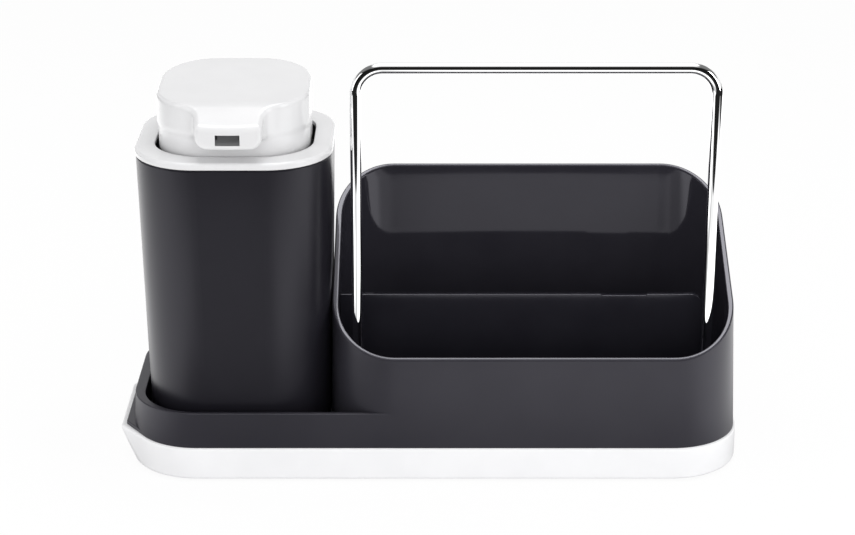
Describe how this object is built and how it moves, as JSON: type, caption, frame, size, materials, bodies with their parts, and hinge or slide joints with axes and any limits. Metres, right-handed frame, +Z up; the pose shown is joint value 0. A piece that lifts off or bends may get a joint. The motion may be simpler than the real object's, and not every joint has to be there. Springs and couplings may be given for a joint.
{
  "type": "soap pump caddy",
  "caption": "Sink caddy: sloping basket with divider and towel rail beside a square push-pump soap bottle, on a drip tray with a pouring lip.",
  "frame": {"origin": "middle of the overall outline, on the surface that the caddy stands on", "axes": "+X along the caddy from the soap bottle to the basket's free end, +Y from the front to the tall back, +Z up"},
  "size_m": [0.2574, 0.0918, 0.1712],
  "materials": {
    "tray_white": "glossy white moulded plastic",
    "pad_rubber": "soft grey rubber",
    "body_dark": "fine matt anthracite outside, smoother inside",
    "rail_chrome": "polished chrome plate",
    "divider_dark": "satin anthracite",
    "bottle_dark": "fine matt anthracite",
    "pump_white": "satin white moulded plastic",
    "deck_dark": "matt black",
    "seal_rubber": "soft grey silicone",
    "pump_natural": "natural milky polypropylene",
    "tube_clear": "translucent extruded tube",
    "valve_steel": "bright stainless steel",
    "lip_silicone": "black silicone"
  },
  "bodies": {
    "tray": {"drip_tray": "tray_white", "foot_pads": "pad_rubber"},
    "caddy": {"caddy_body": "body_dark", "towel_rail": "rail_chrome"},
    "divider_plate": {"divider": "divider_dark"},
    "dispenser": {"bottle": "bottle_dark"},
    "pump": {"collar_ring": "pump_white", "pump_deck": "deck_dark", "deck_gasket": "seal_rubber", "pump_cylinder": "pump_natural", "cylinder_cap": "pump_natural", "dip_tube": "tube_clear", "return_spring": "valve_steel"},
    "push_head": {"pump_head": "pump_white", "spout_duct": "deck_dark", "outlet_lip": "lip_silicone", "piston_stem": "pump_natural", "piston_cup": "seal_rubber"},
    "inlet_valve": {"inlet_ball": "valve_steel"},
    "outlet_valve": {"outlet_ball": "valve_steel"}
  },
  "joints": [
    {"name": "caddy_lift", "type": "slide", "parent": "tray", "child": "caddy", "axis": [0, 0, 1], "range_m": [0, 0.04]},
    {"name": "divider_lift", "type": "slide", "parent": "caddy", "child": "divider_plate", "axis": [0, 0, 1], "range_m": [0, 0.1]},
    {"name": "dispenser_lift", "type": "slide", "parent": "caddy", "child": "dispenser", "axis": [0, 0, 1], "range_m": [0, 0.1]},
    {"name": "pump_lift", "type": "slide", "parent": "dispenser", "child": "pump", "axis": [0, 0, 1], "range_m": [0, 0.12]},
    {"name": "head_press", "type": "slide", "parent": "pump", "child": "push_head", "axis": [0, 0, -1], "range_m": [0, 0.0052], "stiffness_N_per_m": 900, "springref_m": -0.006, "deforming": ["return_spring"]},
    {"name": "inlet_ball_rise", "type": "slide", "parent": "pump", "child": "inlet_valve", "axis": [0, 0, 1], "range_m": [0, 0.0015]},
    {"name": "outlet_ball_rise", "type": "slide", "parent": "push_head", "child": "outlet_valve", "axis": [0, 0, 1], "range_m": [0, 0.0015]}
  ]
}
